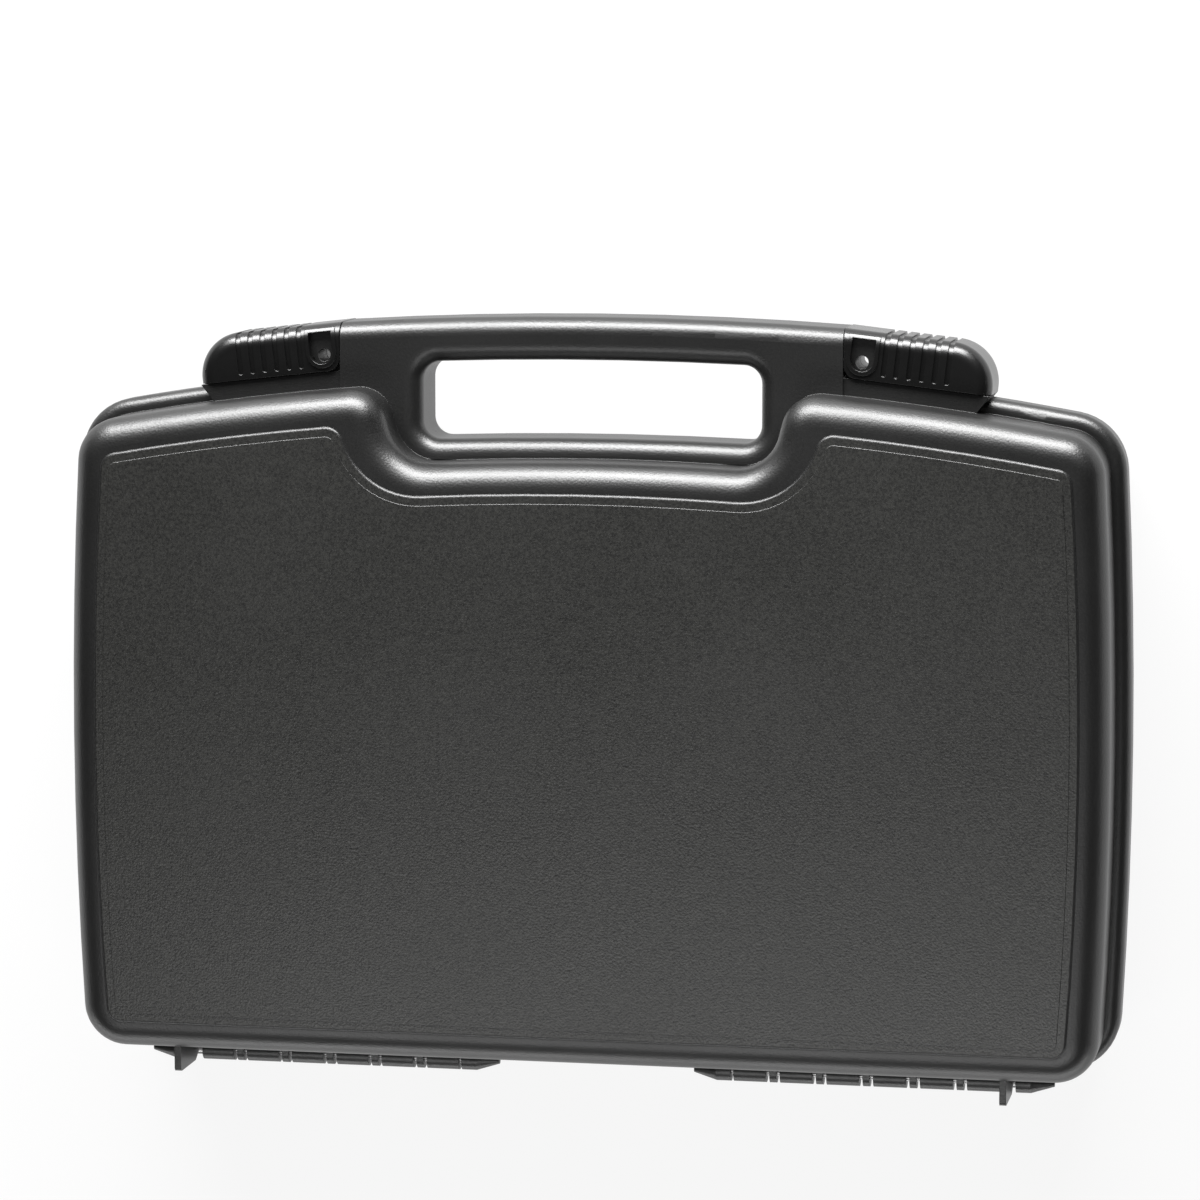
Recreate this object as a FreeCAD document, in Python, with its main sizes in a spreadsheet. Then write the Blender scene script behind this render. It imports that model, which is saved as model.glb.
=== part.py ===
import FreeCAD, Part
import math
import os
import Sketcher

# Hard case for a wireless microphone set: two moulded half shells that meet at a parting plane, each with
# half of the carrying handle, hinged on two steel pins and shut by two sliding latches, lined with foam.
# The case lies on its base. X runs along the hinge, +Y points to the hinge, -Y to the handle, +Z to the lid.
# Distances called "from the hinge edge" are measured from the tray's straight hinge side towards the handle.

doc = FreeCAD.newDocument("MicrophoneCase")
sheet = doc.addObject("Spreadsheet::Sheet", "Sizes")

knuckle_count = 6
rib_groove_count = 6

# Driving dimensions, in millimetres and degrees. A value that starts with = follows the sizes above it.
driving_sizes = [
    ("tray_width", "400.6", "tray across the middle of its bulged sides"),
    ("tray_length", "260.8", "hinge edge to the crown of the handle side"),
    ("side_bulge", "4", "how far each side swells past its corners"),
    ("crown_radius", "1046", "arc of the handle side"),
    ("corner_round", "17", "tray corners seen from above"),
    ("edge_round", "10.5", "rounded border of the trays"),
    ("wall", "2.5", "shell thickness"),
    ("lid_height", "40", "parting plane to the lid's face"),
    ("base_height", "50", "underside to the parting plane"),
    ("flange_reach", "5.6", "how far the rim bead stands out from the tray"),
    ("flange_height", "8", "height of the rim bead of one half"),
    ("bead_round", "4.4", "rounding of the rim bead"),
    ("hinge_rim", "0.8", "how far the rim bead stands out on the hinge side"),
    ("panel_inset", "10.9", "sides of the tray to the raised flat panel"),
    ("panel_crown_inset", "12.8", "handle side of the tray to that panel"),
    ("panel_floor_inset", "11.4", "floor of the handle notch to that panel"),
    ("panel_hinge_inset", "10.9", "hinge side of the tray to that panel"),
    ("panel_round", "7", "least corner of that panel, beside the handle notch"),
    ("panel_rise", "0.9", "how far the panel stands above the tray's border"),
    ("panel_edge", "0.9", "rounded edge of the panel"),
    ("field_margin", "3.7", "edge of the panel to its raised field"),
    ("field_rise", "0.2", "how far that field stands above the rest of the panel"),
    ("notch_top_half", "79", "half width of the handle notch at its mouth"),
    ("notch_floor_half", "71.5", "half width of the handle notch at its floor"),
    ("notch_depth", "29.9", "crown of the handle side to the floor of the handle notch"),
    ("notch_floor", "=tray_length - notch_depth", "hinge edge to the floor of the handle notch"),
    ("notch_outer_round", "13", "convex corners of the notch"),
    ("notch_inner_round", "17", "concave corners of the notch"),
    ("handle_width", "194", "handle between the two latches"),
    ("handle_thickness", "32", "handle and latches across both halves"),
    ("grip_rise", "23.7", "crown of the handle side to the top of the grip"),
    ("grip_far", "=tray_length + grip_rise", "hinge edge to the top of the grip"),
    ("grip_radius", "1500", "arc of the grip"),
    ("grip_round", "6.5", "rounded edges of the grip"),
    ("hand_hole_width", "131", "opening for the hand"),
    ("hole_margin", "7.4", "floor of the handle notch to the hand opening"),
    ("hand_hole_near", "=notch_floor + hole_margin", "hinge edge to the near side of the hand opening"),
    ("grip_depth", "16.5", "grip from its top to its underside"),
    ("hand_hole_far", "=grip_far - grip_depth", "hinge edge to the grip's underside"),
    ("hand_hole_round", "7", "corners of the hand opening"),
    ("latch_slope", "6.55", "fall of the latches towards the corners"),
    ("latch_stand", "2.2", "crown of the handle side to the foot of a latch at its inner end"),
    ("latch_foot", "=tray_length + latch_stand", "hinge edge to that foot"),
    ("latch_length", "55.6", "slider"),
    ("latch_height", "18.4", "slider above its foot line"),
    ("latch_wall", "2.5", "slider shell"),
    ("latch_round", "6", "slider edges"),
    ("latch_nose", "16.5", "rounded outer end of the slider"),
    ("latch_heel", "4", "rounded lower corner of the slider's inner end"),
    ("latch_gap", "0.3", "running clearance of the slider"),
    ("latch_lip", "3", "inward lips that hold the slider on its rail"),
    ("lip_height", "4.6", "height of the lips"),
    ("lip_start", "1", "foot line to the underside of the lips"),
    ("tooth_length", "8.5", "teeth of the base under the slider"),
    ("tooth_pitch", "20", "spacing of the teeth, twice the slider's travel"),
    ("latch_web", "2.2", "inner web of the slider"),
    ("lug_length", "9.8", "inner end of the slider to the end of the padlock lugs"),
    ("lug_hole_place", "5.8", "inner end of the slider to the padlock hole"),
    ("lug_hole", "5", "padlock hole"),
    ("lug_hole_height", "6.5", "foot line to the padlock hole"),
    ("rail_depth", "8", "depth of the block that carries the rails"),
    ("rail_setback", "1.2", "rail block behind the slider's faces"),
    ("rail_slant", "5", "slanted outer end of the rail block"),
    ("window_width", "9", "padlock window of the slider"),
    ("window_start", "1.6", "inner end of the slider to its window"),
    ("window_sill", "3.2", "foot line to the window's lower end"),
    ("window_head", "2.9", "top of the slider to the window's upper edge"),
    ("window_rim", "1.5", "width of the raised rim round the window"),
    ("window_rim_rise", "0.6", "height of the raised rim round the window"),
    ("rib_groove_width", "1.9", "grip grooves of the slider"),
    ("rib_groove_depth", "0.9", "grip grooves of the slider"),
    ("rib_groove_pitch", "4.82", "spacing of the grip grooves"),
    ("rib_groove_start", "13.65", "inner end of the slider to the first groove"),
    ("rib_groove_foot", "2.2", "foot line to the lower end of the grooves"),
    ("hinge_drop", "7", "hinge edge out to the hinge axis"),
    ("knuckle_radius", "4", "hinge knuckles"),
    ("knuckle_length", "12.7", "long knuckles"),
    ("hinge_pitch", "18.1", "spacing of the long knuckles"),
    ("hinge_play", "0.6", "swing room round knuckles and brackets"),
    ("bracket_width", "2.7", "lid brackets between the knuckles"),
    ("end_block", "14.7", "hinge end blocks"),
    ("end_taper", "9", "tapered length of an end block"),
    ("end_tip", "1.2", "radius of an end block's tip"),
    ("end_gap", "1.1", "first knuckle to the inner end block"),
    ("pin_diameter", "3", "hinge pins"),
    ("pin_play", "0.05", "pin clearance all round"),
    ("pin_bury", "7", "length of pin inside each end block"),
    ("fin_width", "2.6", "stop fins"),
    ("fin_gap", "2.2", "last knuckle to the stop fin"),
    ("fin_reach", "3.5", "hinge axis to the outer edge of a stop fin"),
    ("fin_rise", "27", "fin above or below the parting plane"),
    ("fin_round", "1.5", "outer corner of a fin"),
    ("stop_angle", "58.5", "slant of the stop face from the parting plane"),
    ("hinge_margin", "18.2", "corner of the tray's side to the end of the hinge"),
    ("hinge_start", "=tray_width / 2 - side_bulge - hinge_margin - end_block - end_gap - fin_width - fin_gap"
     " - knuckle_length - %d * hinge_pitch" % (knuckle_count - 1), "centre line to the first long knuckle"),
    ("foam_gap", "0.4", "foam to shell"),
    ("foam_floor", "8", "foam sheet under the insert"),
    ("foam_headroom", "2", "top of the insert below the parting plane"),
    ("lid_foam", "20", "foam pad in the lid"),
    ("pocket_wall", "9", "foam left between pockets and round them"),
    ("microphone_length", "268", "microphone pockets"),
    ("microphone_head", "54", "width of a pocket at the microphone's head"),
    ("microphone_body", "40", "width of a pocket at the microphone's body"),
    ("microphone_head_length", "88", "length of the wide end of a pocket"),
    ("microphone_gap", "3", "foam left between the two microphone pockets"),
    ("microphone_pitch", "=(microphone_head + microphone_body) / 2 + microphone_gap",
     "spacing of the two microphone pockets"),
    ("receiver_width", "218", "receiver pocket"),
    ("receiver_length", "95", "receiver pocket"),
    ("pocket_margin", "26.8", "sides of the tray to the receiver and accessory pockets"),
    ("accessory_width", "=tray_width - 2 * pocket_margin - receiver_width - pocket_wall",
     "pocket for batteries and leads"),
    ("pocket_round", "5", "corners of the pockets"),
]

for row, (alias, value, note) in enumerate(driving_sizes, start=1):
    sheet.set("A%d" % row, alias)
    sheet.set("B%d" % row, value)
    sheet.set("C%d" % row, note)
    sheet.setAlias("B%d" % row, alias)
doc.recompute()


def size(alias):
    return float(sheet.get(alias))


def point(x, from_hinge_edge):
    return FreeCAD.Vector(x, size("tray_length") / 2 - from_hinge_edge, 0)


def arc_fall(radius, x):
    return radius - math.sqrt(radius * radius - x * x)


# Depth of a point in Y, written as an expression of its distance from the hinge edge
def depth(from_hinge_edge):
    return "Sizes.tray_length / 2 - (%s)" % from_hinge_edge


# Closed outline with rounded corners. Each corner is (point, round, middle): middle is a point on the arc
# that runs on to the next corner, or None for a straight run.
def rounded_face(corners):
    edges = []
    for index, (start, radius, middle) in enumerate(corners):
        end = corners[(index + 1) % len(corners)][0]
        if middle is None:
            edges.append(Part.LineSegment(start, end).toShape())
        else:
            edges.append(Part.Arc(start, middle, end).toShape())
    prism_solid = Part.Face(Part.Wire(edges)).extrude(FreeCAD.Vector(0, 0, 1))
    for radius in sorted({corner[1] for corner in corners if corner[1]}):
        spots = [corner[0] for corner in corners if corner[1] == radius]
        upright = [edge for edge in prism_solid.Edges if abs(edge.tangentAt(edge.FirstParameter).z) > 0.999]
        chosen = [edge for edge in upright if any(stands_on(edge, spot) for spot in spots)]
        prism_solid = prism_solid.makeFillet(radius, chosen)
    bottom = next(face for face in prism_solid.Faces if face.CenterOfMass.z < 0.001)
    return Part.Face(Part.Wire([plain_edge(edge) for edge in bottom.OuterWire.OrderedEdges]))


def stands_on(edge, spot):
    return math.hypot(edge.CenterOfMass.x - spot.x, edge.CenterOfMass.y - spot.y) < 0.01


# Straight edge or true circular arc through the ends and the middle of an edge
def plain_edge(edge):
    first, last = edge.FirstParameter, edge.LastParameter
    start, middle, end = [edge.valueAt(spot) for spot in (first, (first + last) / 2, last)]
    if (middle - start).cross(end - start).Length < 0.0001 * (end - start).Length:
        return Part.LineSegment(start, end).toShape()
    return Part.Arc(start, middle, end).toShape()


def outline(name, face):
    flat = doc.addObject("Part::Feature", name)
    flat.Shape = face
    flat.setExpression("Placement.Base.z", "Sizes.base_height")
    return flat


def offset(name, source, distance):
    flat = doc.addObject("Part::Offset2D", name)
    flat.Source = source
    flat.Mode = "Skin"
    flat.Join = "Arc"
    flat.setExpression("Value", distance)
    return flat


# Upright prism of an outline, from one height to another above (+1) or below (-1) the parting plane
def prism(name, flat, side, high, low="0"):
    solid = doc.addObject("Part::Extrusion", name)
    solid.Base = flat
    solid.DirMode = "Custom"
    solid.Dir = FreeCAD.Vector(0, 0, side)
    solid.Solid = True
    solid.setExpression("LengthFwd", high)
    solid.setExpression("LengthRev", "-(%s)" % low)
    return solid


# Box between two corners, all six bounds as expressions
def box(name, x_low, x_high, y_low, y_high, z_low, z_high):
    solid = doc.addObject("Part::Box", name)
    solid.setExpression("Length", "(%s) - (%s)" % (x_high, x_low))
    solid.setExpression("Width", "(%s) - (%s)" % (y_high, y_low))
    solid.setExpression("Height", "(%s) - (%s)" % (z_high, z_low))
    solid.setExpression("Placement.Base.x", x_low)
    solid.setExpression("Placement.Base.y", y_low)
    solid.setExpression("Placement.Base.z", z_low)
    return solid


# Round bar along X, centred on the hinge axis
def hinge_bar(name, x_low, length, radius, far_radius=None):
    solid = doc.addObject("Part::Cylinder" if far_radius is None else "Part::Cone", name)
    solid.Placement = FreeCAD.Placement(FreeCAD.Vector(), FreeCAD.Rotation(FreeCAD.Vector(0, 1, 0), 90))
    solid.setExpression("Radius" if far_radius is None else "Radius1", radius)
    if far_radius is not None:
        solid.setExpression("Radius2", far_radius)
    solid.setExpression("Height", length)
    solid.setExpression("Placement.Base.x", x_low)
    solid.setExpression("Placement.Base.y", depth("-Sizes.hinge_drop"))
    solid.setExpression("Placement.Base.z", "Sizes.base_height")
    return solid


def fuse(name, pieces):
    solid = doc.addObject("Part::MultiFuse", name)
    solid.Shapes = pieces
    solid.Refine = True
    return solid


def cut(name, base, tools):
    solid = doc.addObject("Part::Cut", name)
    solid.Base = base
    solid.Tool = tools[0] if len(tools) == 1 else fuse(name + "_tools", tools)
    return solid


def mirrored(name, source):
    copy = doc.addObject("Part::Mirroring", name)
    copy.Source = source
    copy.Normal = FreeCAD.Vector(1, 0, 0)
    return copy


# Fillet of the edges that pass a test
def rounded(name, base, radius, wanted):
    doc.recompute()
    solid = doc.addObject("Part::Fillet", name)
    solid.Base = base
    numbered = enumerate(base.Shape.Edges, start=1)
    solid.Edges = [(number, radius, radius) for number, edge in numbered if wanted(edge)]
    return solid


def lies_at(z):
    return lambda edge: abs(edge.BoundBox.ZMin - z) < 0.001 and abs(edge.BoundBox.ZMax - z) < 0.001


# Case outline: straight hinge side, bulged sides, crowned handle side with a notch round the hand opening.
# It stands out from the tray by one reach at the sides, and by others at the handle side, at the floor of
# the notch and at the hinge side.
def case_outline(side_reach, crown_reach, floor_reach, hinge_reach):
    middle_half = size("tray_width") / 2 + side_reach
    corner_half = middle_half - size("side_bulge")
    mouth_half = size("notch_top_half") - crown_reach
    floor_half = size("notch_floor_half") - crown_reach
    crown = size("tray_length") + crown_reach
    radius = size("crown_radius") + crown_reach
    floor_from_edge = size("notch_floor") + floor_reach
    corner = crown - arc_fall(radius, corner_half)
    between = (corner_half + mouth_half) / 2
    outer = max(size("notch_outer_round") + crown_reach, size("panel_round"))
    inner = size("notch_inner_round") - crown_reach
    round_corner = size("corner_round") + side_reach
    right_side = [
        (point(floor_half, floor_from_edge - arc_fall(radius, floor_half)), inner, None),
        (point(mouth_half, crown - arc_fall(radius, mouth_half)), outer,
         point(between, crown - arc_fall(radius, between))),
        (point(corner_half, corner), round_corner, point(middle_half, corner / 2)),
        (point(corner_half, -hinge_reach), round_corner, None),
    ]
    left_side = [
        (point(-corner_half, -hinge_reach), round_corner, point(-middle_half, corner / 2)),
        (point(-corner_half, corner), round_corner, point(-between, crown - arc_fall(radius, between))),
        (point(-mouth_half, crown - arc_fall(radius, mouth_half)), outer, None),
        (point(-floor_half, floor_from_edge - arc_fall(radius, floor_half)), inner,
         point(0, floor_from_edge)),
    ]
    return rounded_face(right_side + left_side)


bead_reach = size("flange_reach")
tray_outline = outline("tray_outline", case_outline(0, 0, 0, 0))
flange_outline = outline("flange_outline",
                         case_outline(bead_reach, bead_reach, bead_reach, size("hinge_rim")))
cavity_outline = offset("cavity_outline", tray_outline, "-Sizes.wall")
panel_outline = outline("panel_outline", case_outline(-size("panel_inset"), -size("panel_crown_inset"),
                                                      -size("panel_floor_inset"), -size("panel_hinge_inset")))
field_outline = offset("field_outline", panel_outline, "-Sizes.field_margin")

# Handle: an arch between the latches, and the hand opening through it
leg = size("handle_width") / 2
grip_shoulder = size("grip_far") - arc_fall(size("grip_radius"), leg)
leg_root = size("notch_floor") - size("wall") / 2
handle_outline = outline("handle_outline", rounded_face([
    (point(leg, leg_root), 0, None),
    (point(-leg, leg_root), 0, None),
    (point(-leg, grip_shoulder), 0, point(0, size("grip_far"))),
    (point(leg, grip_shoulder), 0, None),
]))
hole_half = size("hand_hole_width") / 2
hole_fall = arc_fall(size("grip_radius"), hole_half)
hole_near = size("hand_hole_near")
hole_far = size("hand_hole_far")
hole_round = size("hand_hole_round")
hole_outline = outline("hole_outline", rounded_face([
    (point(hole_half, hole_near - hole_fall), hole_round, point(0, hole_near)),
    (point(-hole_half, hole_near - hole_fall), hole_round, None),
    (point(-hole_half, hole_far - hole_fall), hole_round, point(0, hole_far)),
    (point(hole_half, hole_far - hole_fall), hole_round, None),
]))


# One half shell before its hinge: rounded tray with a raised panel, rim bead, half handle and rail blocks,
# hollowed out
def half_shell(name, side, height, latch_parts):
    parting = size("base_height")
    face_level = parting + side * size(height)
    border = "Sizes.%s - Sizes.panel_rise" % height
    tray = rounded(name + "_tray", prism(name + "_tray_block", tray_outline, side, border),
                   size("edge_round"), lies_at(face_level - side * size("panel_rise")))
    panel_root = border + " - Sizes.wall / 2"
    panel_block = prism(name + "_panel_block", panel_outline, side, "Sizes.%s - Sizes.field_rise" % height,
                        panel_root)
    panel = rounded(name + "_panel", panel_block, size("panel_edge"),
                    lies_at(face_level - side * size("field_rise")))
    field = prism(name + "_field", field_outline, side, "Sizes." + height, panel_root)
    bead_level = parting + side * size("flange_height")
    bead = rounded(name + "_bead", prism(name + "_bead_block", flange_outline, side, "Sizes.flange_height"),
                   size("bead_round"), lies_at(bead_level))
    handle_level = parting + side * size("handle_thickness") / 2
    arch_block = prism(name + "_arch_block", handle_outline, side, "Sizes.handle_thickness / 2")
    arch_hole = prism(name + "_arch_hole", hole_outline, side, "Sizes.handle_thickness / 2")
    arch = rounded(name + "_arch", cut(name + "_arch_ring", arch_block, [arch_hole]), size("grip_round"),
                   lambda edge: lies_at(handle_level)(edge) and is_grip_edge(edge))
    outside = fuse(name + "_outside", [tray, panel, field, bead, arch] + latch_parts)
    cavity_level = face_level - side * size("wall")
    cavity = rounded(name + "_cavity",
                     prism(name + "_cavity_block", cavity_outline, side, "Sizes.%s - Sizes.wall" % height),
                     size("edge_round") - size("wall"), lies_at(cavity_level))
    hand_hole = prism(name + "_hand_hole", hole_outline, side, "Sizes.flange_height")
    return cut(name + "_hollow", outside, [cavity, hand_hole])


# The long upper edge of the grip and the edges of the hand opening, not the ends at the latches or the root
def is_grip_edge(edge):
    from_hinge_edge = size("tray_length") / 2 - edge.CenterOfMass.y
    between_latches = abs(edge.CenterOfMass.x) < size("handle_width") / 2 - size("latch_gap")
    return between_latches and from_hinge_edge > size("notch_floor")


# Latch rails. Local frame of a latch: X outward along the slope, -Y up from the foot line, Z across the case.
latch_half = "Sizes.handle_thickness / 2"
latch_inside = latch_half + " - Sizes.latch_wall"
head_reach = latch_inside + " - Sizes.latch_gap"
stem_reach = latch_inside + " - Sizes.latch_lip - Sizes.latch_gap"
web_face = "Sizes.latch_gap + Sizes.latch_web"
head_low = "Sizes.lip_start + Sizes.lip_height + Sizes.latch_gap"
head_high = "Sizes.latch_height - Sizes.latch_wall - 2 * Sizes.latch_gap"
latch_travel = "Sizes.tooth_pitch / 2"
rail_end = "Sizes.latch_length - Sizes.latch_nose"
rail_sink = "Sizes.latch_wall"


# Box in a latch's frame: along the slope, height above the foot line, distance from the parting plane
def latch_box(name, side, along_low, along_high, low, high, near, far):
    z_low, z_high = (near, far) if side > 0 else ("-(%s)" % far, "-(%s)" % near)
    return box(name, along_low, along_high, "-(%s)" % high, "-(%s)" % low, z_low, z_high)


def place_on_slope(piece):
    piece.Placement = FreeCAD.Placement(FreeCAD.Vector(), FreeCAD.Rotation(FreeCAD.Vector(0, 0, 1), 1))
    piece.setExpression("Placement.Rotation.Angle", "Sizes.latch_slope")
    piece.setExpression("Placement.Base.x", "Sizes.handle_width / 2 + Sizes.latch_gap")
    piece.setExpression("Placement.Base.y", depth("Sizes.latch_foot"))
    piece.setExpression("Placement.Base.z", "Sizes.base_height")


# Block between the tray and the slider, with a slanted outer end
def rail_block(name, side):
    reach = size("handle_thickness") / 2 - size("rail_setback")
    outer_end = size("latch_length") - size("latch_gap")
    corners = [(-size("rail_depth"), 0), (-size("rail_depth"), size("rail_depth")),
               (outer_end - size("rail_slant"), size("rail_depth")), (outer_end, 0)]
    points = [FreeCAD.Vector(along, below, 0) for along, below in corners]
    block = doc.addObject("Part::Feature", name)
    block.Shape = Part.Face(Part.makePolygon(points + points[:1])).extrude(FreeCAD.Vector(0, 0, side * reach))
    return block


def rail_set(name, side):
    pieces = [
        rail_block(name + "_block", side),
        latch_box(name + "_lug", side, "Sizes.latch_gap", "Sizes.lug_length", "-(%s)" % rail_sink, head_high,
                  "Sizes.latch_gap", head_reach),
    ]
    if side > 0:
        runs = [("Sizes.lug_length", rail_end)]
        stem_near = web_face + " + Sizes.latch_lip + Sizes.latch_gap"
        head_near = web_face + " + Sizes.latch_gap"
    else:
        tooth_start = latch_travel + " + 3 * Sizes.latch_gap"
        next_start = tooth_start + " + Sizes.tooth_pitch"
        runs = [(tooth_start, tooth_start + " + Sizes.tooth_length"),
                (next_start, next_start + " + Sizes.tooth_length")]
        stem_near = "Sizes.latch_gap"
        head_near = "Sizes.latch_gap"
    for number, (run_start, run_end) in enumerate(runs):
        pieces.append(latch_box("%s_stem_%d" % (name, number), side, run_start, run_end,
                                "-(%s)" % rail_sink, head_low, stem_near, stem_reach))
        pieces.append(latch_box("%s_head_%d" % (name, number), side, run_start, run_end,
                                head_low, head_high, head_near, head_reach))
    hole = doc.addObject("Part::Cylinder", name + "_lug_hole")
    hole.setExpression("Radius", "Sizes.lug_hole / 2")
    hole.setExpression("Height", "2 * Sizes.handle_thickness")
    hole.setExpression("Placement.Base.x", "Sizes.lug_hole_place")
    hole.setExpression("Placement.Base.y", "-Sizes.lug_hole_height")
    hole.setExpression("Placement.Base.z", "-Sizes.handle_thickness")
    rails = cut(name, fuse(name + "_blank", pieces), [hole])
    place_on_slope(rails)
    return [rails, mirrored(name + "_mirrored", rails)]


lid_hollow = half_shell("lid", 1, "lid_height", rail_set("lid_rails", 1))
base_hollow = half_shell("base", -1, "base_height", rail_set("base_rails", -1))

# Hinge: the base carries long knuckles and end blocks, the lid short brackets between the knuckles. Stop fins
# of both halves meet along slanted faces when the lid is fully open.
hinge_level = "Sizes.base_height"
hinge_axis = "-Sizes.hinge_drop"
clear_radius = "Sizes.knuckle_radius + Sizes.hinge_play"
row_start = "Sizes.hinge_start - Sizes.end_gap - Sizes.end_block"
row_end = "Sizes.hinge_start + %d * Sizes.hinge_pitch + Sizes.knuckle_length" % (knuckle_count - 1)
fin_start = row_end + " + Sizes.fin_gap"
outer_block = fin_start + " + Sizes.fin_width + Sizes.end_gap"
hinge_end = outer_block + " + Sizes.end_block"


# Arm from the hinge axis back into the rim bead of one half
def hinge_arm(name, side, x_low, x_high):
    z_low, z_high = ("0", "Sizes.knuckle_radius") if side > 0 else ("-Sizes.knuckle_radius", "0")
    return box(name, x_low, x_high, depth("Sizes.wall / 2"), depth(hinge_axis),
               hinge_level + " + " + z_low, hinge_level + " + " + z_high)


def knuckle(name, side, x_low, length):
    return [hinge_bar(name, x_low, length, "Sizes.knuckle_radius"),
            hinge_arm(name + "_arm", side, x_low, "%s + %s" % (x_low, length))]


def bracket_start(number):
    middle = "Sizes.hinge_start + Sizes.knuckle_length + %d * Sizes.hinge_pitch" % number
    return middle + " + (Sizes.hinge_pitch - Sizes.knuckle_length - Sizes.bracket_width) / 2"


# Stop fin: a plate along the wall that also serves as a foot, with a stop face that points at the hinge axis
def stop_fin(name, side):
    axis = point(0, -size("hinge_drop")).y
    outer = axis + size("fin_reach")
    slant = size("fin_reach") * math.tan(math.radians(size("stop_angle")))
    rise = size("fin_rise")
    root = point(0, size("wall") / 2).y
    corners = [(axis, 0), (outer, slant), (outer, rise), (root, rise), (root, 0)]
    points = [FreeCAD.Vector(0, y, side * z) for y, z in corners]
    across = FreeCAD.Vector(size("fin_width"), 0, 0)
    plate = Part.Face(Part.makePolygon(points + points[:1])).extrude(across)
    tip = points[2] + across / 2
    fin = doc.addObject("Part::Feature", name)
    fin.Shape = plate.makeFillet(size("fin_round"),
                                 [edge for edge in plate.Edges if (edge.CenterOfMass - tip).Length < 0.01])
    fin.setExpression("Placement.Base.x", fin_start)
    fin.setExpression("Placement.Base.z", hinge_level)
    return fin


# Wedge that runs the tapered end of an end block out to the tray
def end_fairing(name, x_start, direction):
    near = point(0, size("wall") / 2).y
    far = point(0, -size("hinge_drop")).y + size("knuckle_radius") / 2
    thick = FreeCAD.Vector(0, 0, -size("knuckle_radius"))
    points = [FreeCAD.Vector(0, near, 0), FreeCAD.Vector(direction * size("end_taper"), near, 0),
              FreeCAD.Vector(0, far, 0)]
    wedge = doc.addObject("Part::Feature", name)
    wedge.Shape = Part.Face(Part.makePolygon(points + points[:1])).extrude(thick)
    wedge.setExpression("Placement.Base.x", x_start)
    wedge.setExpression("Placement.Base.z", hinge_level)
    return wedge


def both_sides(name, pieces):
    row = fuse(name, pieces) if len(pieces) > 1 else pieces[0]
    return [row, mirrored(name + "_mirrored", row)]


def pin_bore(name):
    start = row_start + " + Sizes.end_block - Sizes.pin_bury"
    length = "(%s) - (%s) + Sizes.pin_bury" % (outer_block, start)
    return hinge_bar(name, start, length, "Sizes.pin_diameter / 2 + Sizes.pin_play")


lid_swing = hinge_bar("lid_swing", row_start + " - Sizes.hinge_play",
                      "(%s) - (%s) + 2 * Sizes.hinge_play" % (hinge_end, row_start), clear_radius)
lid_cleared = cut("lid_cleared", lid_hollow, both_sides("lid_swing_both", [lid_swing]))
brackets = []
for number in range(knuckle_count - 1):
    brackets += knuckle("lid_bracket_%d" % number, 1, bracket_start(number), "Sizes.bracket_width")
brackets.append(stop_fin("lid_fin", 1))
lid_hinged = fuse("lid_hinged", [lid_cleared] + both_sides("lid_brackets", brackets))
lid_shell = cut("lid_shell", lid_hinged, both_sides("lid_pin_bore", [pin_bore("lid_pin_bore_right")]))

base_swings = []
for number in range(knuckle_count - 1):
    base_swings.append(hinge_bar("base_swing_%d" % number, bracket_start(number) + " - Sizes.hinge_play",
                                 "Sizes.bracket_width + 2 * Sizes.hinge_play", clear_radius))
base_cleared = cut("base_cleared", base_hollow, both_sides("base_swings", base_swings))
knuckles = []
for number in range(knuckle_count):
    knuckles += knuckle("base_knuckle_%d" % number, -1,
                        "Sizes.hinge_start + %d * Sizes.hinge_pitch" % number, "Sizes.knuckle_length")
knuckles += knuckle("base_inner_block", -1, row_start + " + Sizes.end_taper",
                    "Sizes.end_block - Sizes.end_taper")
knuckles += knuckle("base_outer_block", -1, outer_block, "Sizes.end_block - Sizes.end_taper")
knuckles.append(hinge_bar("base_inner_taper", row_start, "Sizes.end_taper",
                          "Sizes.end_tip", "Sizes.knuckle_radius"))
knuckles.append(hinge_bar("base_outer_taper", hinge_end + " - Sizes.end_taper", "Sizes.end_taper",
                          "Sizes.knuckle_radius", "Sizes.end_tip"))
knuckles.append(end_fairing("base_inner_fairing", row_start + " + Sizes.end_taper", -1))
knuckles.append(end_fairing("base_outer_fairing", hinge_end + " - Sizes.end_taper", 1))
knuckles.append(stop_fin("base_fin", -1))
base_hinged = fuse("base_hinged", [base_cleared] + both_sides("base_knuckles", knuckles))
base_shell = cut("base_shell", base_hinged, both_sides("base_pin_bore", [pin_bore("base_pin_bore_right")]))


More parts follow.
